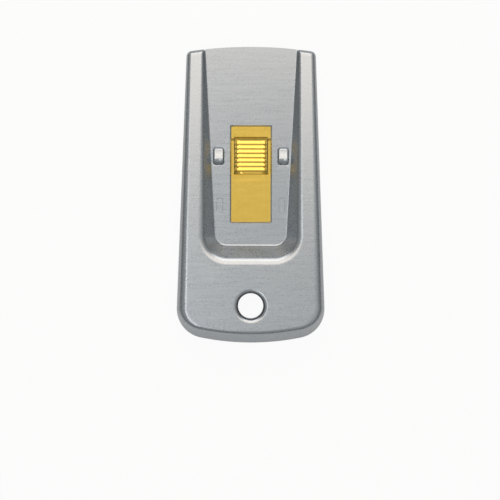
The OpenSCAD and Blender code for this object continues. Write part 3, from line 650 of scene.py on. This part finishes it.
def front_shell_shape(s, inside):
    """Closed sheet of the front shell.

    Round the panel a section is carried along the U of stations. The panel and the flat rim are filled
    between the section's edges and the loops of the window, slots, dimples and hang hole."""
    st = shell_stations(s)
    skin = Sheet()
    outer, inner = shell_sections(s, st, 0.0), shell_sections(s, st, s.sheet)
    rows, cols = outer.shape[:2]
    crest = FOOT + CREST + 1
    quads = grid_faces(rows, cols)
    row, col = quads[:, 0] // cols, quads[:, 0] % cols
    flat_rim = (col == crest) & (row >= CORNER) & (row < rows - 1 - CORNER)
    skin.add(outer, inner, quads[~flat_rim])
    x = np.linspace(outer[-1, 0, 0], outer[0, 0, 0], MOUTH)[1:-1]
    front = np.stack([x, mouth_edge(s, x, 0.0)], 1)
    add_panel(skin, s, inside, np.concatenate([outer[:, 0, :2], front]))
    rim = np.arange(CORNER, rows - CORNER)
    add_rim(skin, s, np.concatenate([outer[rim, crest + 1], outer[rim, crest][::-1]]))
    return skin.closed()


def plate_shape(s, inside):
    """Closed sheet of the back plate: the outline moved in past the wall, with its punched holes."""
    st = shell_stations(s)
    draft = wall_draft(s, st)[:, 0]
    top = inside.plate_z + inside.plate_t
    wall = wall_lean(s, top, draft) + s.sheet / np.cos(draft)
    inset = inside.plate_clear + np.maximum(s.lip_bend, wall)
    x, y, nx, ny = st.outline
    half = np.stack([x - nx * inset, y - ny * inset], 1)
    x = np.linspace(-half[0, 0], half[0, 0], MOUTH)[1:-1]
    front = np.stack([x, mouth_edge(s, x, inset[0])], 1)
    border = np.concatenate([half, half[-2::-1] * [-1, 1], front])[::-1]
    lance_len = s.panel_z - top
    lance_w = inside.lug_len + 2 * inside.slot_clear
    lance_at = [inside.lug_x + inside.plate_t + lance_len / 2, inside.lug_y]
    lance = rounded_loop(lance_len, lance_w, PUNCH_R) + lance_at
    nose = inside.leaf_rivet + inside.leaf_len
    notches = [rounded_loop(inside.notch_w, inside.notch_len, PUNCH_R) + [0, nose + shift]
               for shift in (-inside.travel_rear, 0.0, inside.travel_front)]
    hang = circle(PLATE_ROUND) * s.hang_r + [0, s.hang_y]
    sheet = Sheet()
    sheet.add_flat([border, lance, lance * [-1, 1], *notches, hang], top, inside.plate_z)
    return sheet.closed()


def lug_shape(s, inside):
    """A lug on the +X side: an upright tab and a clinched head.

    The head is loops of a rounded rectangle that shrink to its middle. v and w are the places along and
    across it from -1 to 1. From its front end it climbs by k^2 to a crest behind its middle, where k is
    the share of that way, and then it falls by the square of the share of the way to its rear end. Its
    rear half is hollowed across by w^2, and a quarter-round runs round its edge."""
    tab = rounded_loop(inside.plate_t, inside.lug_len, s.edge_r, steps=4)
    tab = tab + [inside.lug_x + inside.plate_t / 2, inside.lug_y]
    shank = Sheet()
    shank.add_flat([tab], s.panel_z + s.edge_r, inside.plate_z)
    loop = dense(rounded_loop(inside.head_w, inside.head_len, inside.head_r, steps=12), HEAD_STEP)
    t = np.concatenate([
        [0], np.linspace(0, HEAD_ROUND, HEAD_EDGE), np.linspace(HEAD_ROUND, 1, HEAD_TOP)[1:]])
    plan = loop[None] * (1 - t)[:, None, None]
    v = plan[..., 1] / (inside.head_len / 2)
    w = plan[..., 0] / (inside.head_w / 2)
    k = np.clip((1 - v) / (1 - HEAD_CREST), 0, 1)
    fall = np.clip((HEAD_CREST - v) / (1 + HEAD_CREST), 0, 1)
    edge = np.sqrt(1 - (1 - np.clip(t / HEAD_ROUND, 0, 1)) ** 2)[:, None]
    lift = inside.head_h * mix(mix(HEAD_FRONT, 1, k ** 2), HEAD_REAR, fall ** 2)
    lift = (lift + inside.head_cup * smooth(-2 * v) * w ** 2) * edge
    lift[0] = -s.pocket
    plan = plan + [inside.head_x, inside.lug_y]
    points = np.concatenate([plan, s.panel_z + lift[..., None]], 2).reshape(-1, 3)
    first, cap = welded(points, np.concatenate([ring_faces(len(t), len(loop)), fill([loop])[:, ::-1]]))
    return joined(shank.closed(), (points[first], cap))


def grip_profile(inside):
    """Stations along the grip, the rise above the strip there, and how far up a rib each of them is.

    From the front they are a flat start, an even front face and ribs |sin(pi g)| on a top that climbs
    towards the rear, where g is 1/2 at the share rib_lean of a rib. Then come a drop to a level ridge
    and a drop into a hollow just below the strip, which runs out flat."""
    valley = inside.grip_rise - inside.rib_h
    t = np.linspace(0, 1, FACE)
    face_y = mix(inside.grip_front, inside.rib_start, t)
    k = np.linspace(0, RIBS, RIBS * RIB + 1)[1:]
    g = np.interp(k % 1, [0, inside.rib_lean, 1], [0, 0.5, 1])
    crest = np.abs(np.sin(math.pi * g))
    ribs_y = inside.rib_start - inside.rib_pitch * k
    ribs = valley + inside.rib_h * crest + math.tan(inside.grip_tilt) * inside.rib_pitch * k
    rear_y = np.linspace(ribs_y[-1], inside.tail_end, TAIL)[1:]
    d = ribs_y[-1] - rear_y
    to_ridge = RIDGE_SHARE * smooth(d / inside.ridge_fall)
    to_hollow = (1 - RIDGE_SHARE + HOLLOW_SHARE) * smooth((d - inside.ridge_len) / inside.back_run)
    run_out = HOLLOW_SHARE * smooth((d - inside.hollow_start) / inside.hollow_run)
    rear = ribs[-1] * (1 - to_ridge - to_hollow + run_out)
    lead, trail = inside.grip_front + GUARD, inside.tail_end - GUARD
    return (np.concatenate([[lead], face_y, ribs_y, rear_y, [trail]]),
            np.concatenate([[0], valley * t, ribs, rear, [0]]),
            np.concatenate([np.zeros(FACE + 1), crest, np.zeros(TAIL)]))


def grip_pad(inside):
    """Upper face of the grip: a grid of its profile's stations by places across.

    Its top is crowned, and its sides roll down to the slits as quarter ellipses that start further in
    between the ribs than at them. The front face keeps its slope up to where it meets the roll. Behind
    the ribs the grip flares, and its sides blend down into the strip."""
    y, rise, crest = grip_profile(inside)
    rise = rise[:, None]
    side_x = inside.grip_w / 2 + inside.grip_side
    half = mix(side_x, inside.tail_half, smooth((inside.flare_start - y) / inside.flare_run))
    level = inside.grip_w / 2 / side_x
    roll = mix(level, 1, np.sin(np.linspace(0, math.pi / 2, GRIP_ROLL)))
    u = np.concatenate([-roll[::-1], np.linspace(-level, level, GRIP_TOP)[1:-1], roll])
    x = half[:, None] * u
    start = mix(inside.valley_w, inside.grip_w, crest)[:, None] / 2
    k = np.clip((np.abs(x) - start) / (side_x - start), 0, 1)
    rolled = ROLL_SHARE * (1 - np.sqrt(1 - k ** 2))
    top = np.maximum(rise, inside.grip_rise - inside.rib_h) * (1 - rolled)
    blend = smooth((np.abs(u) - LEVEL_SHARE) / (1 - LEVEL_SHARE))
    low = smooth((inside.blend_start - y) / inside.blend_run)[:, None]
    lifted = mix(np.minimum(rise, top), rise * (1 - blend), low)
    crown = inside.grip_crown * np.abs(2 * x / inside.grip_w) ** 3
    raised = np.clip(rise / inside.grip_rise, 0, 1) * (1 - low)
    z = inside.strip_top + lifted - crown * raised * (1 - k)
    return np.stack([x, np.broadcast_to(y[:, None], x.shape), z], 2)


def slide_shape(inside):
    """Closed sheet of the thumb slide: a strip with a wide head, and the ribbed grip lanced up from it.

    Beside the grip the strip is two bands, a slit away and pressed down a little. Ahead of it and behind
    it the strip is flat, with tapered rivet holes."""
    pad = grip_pad(inside)
    rows, cols = pad.shape[:2]
    y, half = pad[:, -1, 1], pad[:, -1, 0]
    down = np.array([0, 0, inside.strip_t])
    slide = Sheet()
    slide.add(pad, pad - down, grid_faces(rows, cols))

    w, a = inside.strip_w / 2, inside.arm_w / 2
    slit = inside.grip_slit * smooth((inside.grip_front - y) / inside.strip_t)
    open_x = half + np.minimum(slit, inside.tail_half - half)
    inner_x = np.where(y > inside.tail_join, open_x, half)
    dip_start = smooth((inside.dip_front - y) / inside.dip_run)
    dip_end = smooth((y - inside.dip_rear) / inside.dip_step)
    height = inside.strip_top - inside.side_dip * dip_start * dip_end
    band = np.stack([np.stack([x, y, height], 1) for x in (inner_x, np.full(rows, w))], 1)
    for side in (band, band[:, ::-1] * [-1, 1, 1]):
        slide.add(side, side - down, grid_faces(rows, 2))

    ends = np.array([[-w, 1], [w, 1]])
    front_row = np.insert(pad[0, :, :2], [0, cols], ends * [1, y[0]], axis=0)
    rear_row = np.insert(pad[-1, :, :2], [0, cols], ends * [1, y[-1]], axis=0)
    head = np.concatenate([front_row, [
        [w, inside.arm_back], [a, inside.arm_back], [a, inside.arm_front],
        [-a, inside.arm_front], [-a, inside.arm_back], [-w, inside.arm_back]]])
    tail = np.concatenate([rear_row[::-1], [[-w, inside.strip_back], [w, inside.strip_back]]])
    ring = circle(RIVET_ROUND)
    fork_spots = [[inside.foot_x, inside.foot_y], [-inside.foot_x, inside.foot_y]]
    for border, spots in ((head, fork_spots), (tail, [[0, inside.leaf_rivet]])):
        above, below = (
            [border] + [ring * r + at for at in spots] for r in (inside.sink_r, inside.rivet_r))
        slide.add(flat(np.concatenate(above), inside.strip_top),
                  flat(np.concatenate(below), inside.strip_top - inside.strip_t), fill(above))
    return slide.closed()


def spine_shape(inside):
    """Folded spine: strip folded to a U round the blade's back, carried along the blade's length."""
    r = inside.spine_t / 2
    gap = inside.blade_t / 2
    wall = r - gap
    mid = inside.spine_z + r
    t = np.linspace(math.pi / 2, math.pi * 1.5, SPINE_BACK)
    out_y, out_z = inside.spine_back + r + r * np.cos(t), mid + r * np.sin(t)
    t = np.linspace(-math.pi / 2, math.pi / 2, SPINE_TIP)
    low_y = inside.spine_back + inside.spine_w - wall / 2 + wall / 2 * np.cos(t)
    low_z = mid - gap - wall / 2 + wall / 2 * np.sin(t)
    fold = inside.spine_back + inside.fold_depth
    profile_y = np.concatenate([out_y, low_y, [fold, fold], low_y])
    profile_z = np.concatenate([out_z, low_z, [mid - gap, mid + gap], low_z + 2 * gap + wall])
    n = len(profile_y)
    x = np.linspace(-0.5, 0.5, SPINE_LONG) * inside.blade_len
    points = np.stack([
        np.repeat(x, n), np.tile(profile_y, len(x)), np.tile(profile_z, len(x))], 1)
    skin = ring_faces(len(x), n)
    cap = fill([np.stack([profile_y, profile_z], 1)])
    return points, np.concatenate([skin, cap[:, ::-1], cap + n * (len(x) - 1)])


def add(tree, kind, inputs=None, **settings):
    """Adds a node, sets its options, and sets or links its inputs."""
    made = tree.nodes.new(kind)
    for key, value in settings.items():
        setattr(made, key, value)
    for key, value in (inputs or {}).items():
        if isinstance(value, bpy.types.NodeSocket):
            tree.links.new(value, made.inputs[key])
        else:
            made.inputs[key].default_value = value
    return made


def new_material(name):
    """An empty node material and its tree."""
    material = bpy.data.materials.new(name)
    material.use_nodes = True
    material.node_tree.nodes.clear()
    return material, material.node_tree


def metal(name, light, dark, rough, line, grain, depth, lacquer=0.0):
    """A worked metal: brush lines of a length and width, a fine grain, and roughness that follows both.

    Lines, grain and the lines' depth are in millimetres, rough is the range of the roughness, and lacquer
    is the weight of a clear coat."""
    material, tree = new_material(name)
    place_in = add(tree, "ShaderNodeTexCoord").outputs["Object"]
    long, wide = line
    stretched = add(tree, "ShaderNodeMapping", {
        "Vector": place_in, "Scale": (1 / (long * MM), 1 / (wide * MM), 1 / (wide * MM))})
    streak = add(tree, "ShaderNodeTexNoise", {
        "Vector": stretched.outputs[0], "Scale": 1.0, "Detail": 1.0, "Roughness": 0.5})
    speck = add(tree, "ShaderNodeTexNoise", {
        "Vector": place_in, "Scale": 1 / (grain * MM), "Detail": 2.0, "Roughness": 0.55})
    both = add(tree, "ShaderNodeMath", {
        0: streak.outputs["Fac"], 1: speck.outputs["Fac"]}, operation="ADD")
    # Nearly all of the two patterns' sum lies in this range
    span = {"Value": both.outputs[0], "From Min": 0.6, "From Max": 1.4}
    tone = add(tree, "ShaderNodeMapRange", span)
    blend = add(tree, "ShaderNodeMix", {0: tone.outputs[0], 6: dark, 7: light}, data_type="RGBA")
    gloss = add(tree, "ShaderNodeMapRange", {**span, "To Min": rough[0], "To Max": rough[1]})
    bump = add(tree, "ShaderNodeBump", {
        "Height": streak.outputs["Fac"], "Strength": 0.6, "Distance": depth * MM})
    shader = add(tree, "ShaderNodeBsdfPrincipled", {
        "Base Color": blend.outputs[2], "Metallic": 1.0, "Roughness": gloss.outputs[0],
        "Normal": bump.outputs[0], "Coat Weight": lacquer, "Coat Roughness": 0.1})
    add(tree, "ShaderNodeOutputMaterial", {"Surface": shader.outputs[0]})
    return material


def darker(tone, share):
    """A colour at a share of its brightness."""
    return [c * share for c in tone[:3]] + [1.0]


def coat(node, material):
    """Gives a CAD node its finished material."""
    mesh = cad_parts[node].data
    mesh.materials.clear()
    mesh.materials.append(material)


def plated_steel(colours):
    """Satin nickel-plated sheet steel, brushed across: soft wide highlights with fine cross lines.

    The real lines are about 0.1 mm apart, and are drawn 0.5 mm wide so that they show in the render."""
    return bpy.data.materials.get("nickel_plated_steel_brushed") or metal(
        "nickel_plated_steel_brushed", colours.steel_light, colours.steel_dark,
        rough=(0.25, 0.33), line=(9.0, 0.5), grain=0.7, depth=0.001)


def lacquered_brass(colours):
    """Bright brass plate on drawn steel, with clear lacquer: glossy, with a faint drawing grain."""
    return metal("brass_plate_bright", colours.brass, colours.brass_deep,
                 rough=(0.15, 0.2), line=(6.0, 1.5), grain=1.2, depth=0.001, lacquer=1.0)


def spring_steel(colours):
    """Tempered spring steel, cold rolled: dull and greyish, with rolling lines along the strip."""
    return metal("spring_steel_tempered", colours.spring, darker(colours.spring, 0.8),
                 rough=(0.3, 0.45), line=(10.0, 0.3), grain=0.4, depth=0.003)


def blade_steel(colours):
    """Polished carbon steel: near mirror, with fine grinding lines along the edge."""
    return metal("blade_steel_ground", colours.blade, darker(colours.blade, 0.85),
                 rough=(0.12, 0.2), line=(20.0, 0.25), grain=0.3, depth=0.001)


def spine_steel(colours):
    """Rolled steel strip, folded: plain and a little dull."""
    return metal("spine_steel_rolled", colours.spine, darker(colours.spine, 0.82),
                 rough=(0.3, 0.42), line=(16.0, 0.4), grain=0.5, depth=0.003)


def set_camera(scene):
    """A long lens that looks straight down. The tool lies turned a little in its view."""
    # Width of the view at the height of the rim, the middle of the view, and the turn
    view_w, rim_height = 168.9 * MM, 5 * MM
    middle_x, middle_y = -0.25 * MM, -18.65 * MM
    turn = math.radians(0.13)
    lens = bpy.data.cameras.new("camera")
    lens.sensor_width, lens.lens = 36.0, 300.0
    camera = bpy.data.objects.new("camera", lens)
    scene.collection.objects.link(camera)
    distance = view_w / lens.sensor_width * lens.lens
    camera.location = (middle_x, middle_y, distance + rim_height)
    camera.rotation_euler = (0.0, 0.0, turn)
    scene.camera = camera


def lay_floor(scene, tone):
    """A pale floor under the tool, which can be seen through from below.

    To the camera it is mostly plain white, with enough of its matt paint left to keep the shadow."""
    half, depth = 4.0, 0.1 * MM
    mesh = bpy.data.meshes.new("floor")
    corners = np.array([[-half, -half], [half, -half], [half, half], [-half, half]])
    mesh.from_pydata(flat(corners, -depth).tolist(), [], [[0, 1, 2, 3]])
    floor = bpy.data.objects.new("floor", mesh)
    scene.collection.objects.link(floor)
    material, tree = new_material("studio_floor")
    paint = add(tree, "ShaderNodeBsdfDiffuse", {"Color": tone})
    path = add(tree, "ShaderNodeLightPath")
    # Share of plain white that each kind of ray sees
    shares = {"Is Camera Ray": 0.94, "Is Glossy Ray": 0.3, "Is Transmission Ray": 0.94}
    share = None
    for ray, part in shares.items():
        seen = add(tree, "ShaderNodeMath", {0: path.outputs[ray], 1: part}, operation="MULTIPLY")
        share = seen if share is None else add(
            tree, "ShaderNodeMath", {0: share.outputs[0], 1: seen.outputs[0]}, operation="MAXIMUM")
    white = add(tree, "ShaderNodeEmission", {"Color": (1, 1, 1, 1), "Strength": 1.0})
    above = add(tree, "ShaderNodeMixShader", {
        0: share.outputs[0], 1: paint.outputs[0], 2: white.outputs[0]})
    clear = add(tree, "ShaderNodeBsdfTransparent")
    below = add(tree, "ShaderNodeNewGeometry").outputs["Backfacing"]
    shown = add(tree, "ShaderNodeMixShader", {0: below, 1: above.outputs[0], 2: clear.outputs[0]})
    add(tree, "ShaderNodeOutputMaterial", {"Surface": shown.outputs[0]})
    mesh.materials.append(material)


def light_sky(scene):
    """A nearly white world that is dim at the horizon and brightens upwards."""
    world = bpy.data.worlds.new("studio")
    world.use_nodes = True
    tree = world.node_tree
    tree.nodes.clear()
    ray = add(tree, "ShaderNodeTexCoord").outputs["Generated"]
    height = add(tree, "ShaderNodeSeparateXYZ", {0: ray}).outputs["Z"]
    level = add(tree, "ShaderNodeMapRange", {
        "Value": height, "From Min": 0.0, "From Max": 0.6, "To Min": 0.12, "To Max": 0.45},
        interpolation_type="SMOOTHSTEP")
    sky = add(tree, "ShaderNodeBackground", {
        "Color": linear("#fbfaf7"), "Strength": level.outputs[0]})
    add(tree, "ShaderNodeOutputWorld", {"Surface": sky.outputs[0]})
    scene.world = world


def hang_lights(scene):
    """Soft rectangular lights, each turned towards its aim. A brightness of 1 is white."""
    # Name, place and aim in metres, width and height, brightness and tint of each light
    lights = [
        ("overhead", (0.0, 0.0, 1.2), (0.0, 0.0, 0.0), (1.2, 1.2), 0.22, "#ffffff"),
        ("over_mouth", (0.0, 0.204, 0.27), (0.0, 0.0, 0.0), (0.3, 0.336), 1.3, "#ffecd9"),
        ("over_thumb", (0.0, 0.24, 0.45), (0.0, 0.012, 0.0), (0.25, 0.1), 0.45, "#ffffff"),
        ("front_panel", (0.0, 0.882, 0.423), (0.0, -0.024, 0.0), (1.2, 0.5), 1.1, "#ffffff"),
        ("left_strip", (-0.12, -0.12, 0.39), (0.0, -0.12, 0.0), (0.34, 0.08), 1.9, "#ffffff"),
        ("right_strip", (0.55, 0.0, 0.75), (0.0, 0.0, 0.0), (1.0, 0.2), 0.3, "#ffffff"),
    ]
    for name, at, aim, size, bright, tint in lights:
        data = bpy.data.lights.new(name, "AREA")
        data.shape = "RECTANGLE"
        data.size, data.size_y = size
        data.energy = bright * math.pi * size[0] * size[1]
        data.color = linear(tint)[:3]
        lamp = bpy.data.objects.new(name, data)
        lamp.location = at
        lamp.rotation_euler = (Vector(aim) - lamp.location).to_track_quat("-Z", "Y").to_euler()
        lamp.visible_camera = False
        scene.collection.objects.link(lamp)


class SCRAPER_OT_front_shell(bpy.types.Operator):
    """Builds the stamped front shell"""

    bl_idname = "scraper.front_shell"
    bl_label = "Front shell"

    def execute(self, context):
        scene = context.scene
        shape = front_shell_shape(scene.scraper_shell, scene.scraper_inside)
        steel = plated_steel(scene.scraper_colours)
        place("shell_sheet", shape, steel, "case", "front_shell")
        return {"FINISHED"}


class SCRAPER_OT_back_plate(bpy.types.Operator):
    """Builds the back plate with its two clinched lugs"""

    bl_idname = "scraper.back_plate"
    bl_label = "Back plate"

    def execute(self, context):
        scene = context.scene
        s, inside = scene.scraper_shell, scene.scraper_inside
        lug = lug_shape(s, inside)
        shape = joined(plate_shape(s, inside), lug, mirrored(lug))
        steel = plated_steel(scene.scraper_colours)
        place("plate_sheet", shape, steel, "case", "back_plate")
        return {"FINISHED"}


class SCRAPER_OT_thumb_slide(bpy.types.Operator):
    """Builds the brass-plated thumb slide with its ribbed grip"""

    bl_idname = "scraper.thumb_slide"
    bl_label = "Thumb slide"

    def execute(self, context):
        scene = context.scene
        brass = lacquered_brass(scene.scraper_colours)
        shape = slide_shape(scene.scraper_inside)
        place("slide_sheet", shape, brass, "slide", "thumb_slide")
        coat("spring_rivet", brass)
        coat("clip_rivets", brass)
        return {"FINISHED"}


class SCRAPER_OT_springs(bpy.types.Operator):
    """Finishes the detent spring and the blade clip"""

    bl_idname = "scraper.springs"
    bl_label = "Springs"

    def execute(self, context):
        steel = spring_steel(context.scene.scraper_colours)
        coat("detent_spring", steel)
        coat("blade_clip", steel)
        return {"FINISHED"}


class SCRAPER_OT_blade(bpy.types.Operator):
    """Finishes the razor blade and builds its folded spine"""

    bl_idname = "scraper.blade"
    bl_label = "Blade"

    def execute(self, context):
        scene = context.scene
        colours = scene.scraper_colours
        coat("razor_blade", blade_steel(colours))
        shape = spine_shape(scene.scraper_inside)
        place("spine_fold", shape, spine_steel(colours), "blade", "blade_spine")
        return {"FINISHED"}


class SCRAPER_OT_stage(bpy.types.Operator):
    """Sets up the camera, the pale floor and the soft studio light"""

    bl_idname = "scraper.stage"
    bl_label = "Stage"

    def execute(self, context):
        scene = context.scene
        scene.view_settings.view_transform = "Standard"
        set_camera(scene)
        lay_floor(scene, scene.scraper_colours.floor)
        light_sky(scene)
        hang_lights(scene)
        return {"FINISHED"}


class SCRAPER_PT_panel(bpy.types.Panel):
    """Lists the pieces and their sizes"""

    bl_idname = "SCRAPER_PT_panel"
    bl_label = "Razor blade scraper"
    bl_space_type = "VIEW_3D"
    bl_region_type = "UI"
    bl_category = "Scraper"

    def draw(self, context):
        for operator in OPERATORS:
            self.layout.operator(operator.bl_idname)
        for group in GROUPS:
            settings = getattr(context.scene, group)
            for name in settings.__annotations__:
                self.layout.prop(settings, name)


OPERATORS = (
    SCRAPER_OT_stage, SCRAPER_OT_front_shell, SCRAPER_OT_back_plate, SCRAPER_OT_thumb_slide,
    SCRAPER_OT_springs, SCRAPER_OT_blade,
)
GROUPS = {
    "scraper_shell": ScraperShell, "scraper_inside": ScraperInside, "scraper_colours": ScraperColours,
}


def register():
    """Registers the classes and hangs the settings on the scene."""
    for group in (*GROUPS.values(), *OPERATORS, SCRAPER_PT_panel):
        bpy.utils.register_class(group)
    for name, group in GROUPS.items():
        setattr(bpy.types.Scene, name, bpy.props.PointerProperty(type=group))


def unregister():
    """Takes the settings and the classes away again."""
    for name in GROUPS:
        delattr(bpy.types.Scene, name)
    for group in (SCRAPER_PT_panel, *OPERATORS, *GROUPS.values()):
        bpy.utils.unregister_class(group)


def main():
    """Builds every piece in order."""
    register()
    bpy.ops.scraper.stage()
    bpy.ops.scraper.front_shell()
    bpy.ops.scraper.back_plate()
    bpy.ops.scraper.thumb_slide()
    bpy.ops.scraper.springs()
    bpy.ops.scraper.blade()


if __name__ == "__main__":
    main()
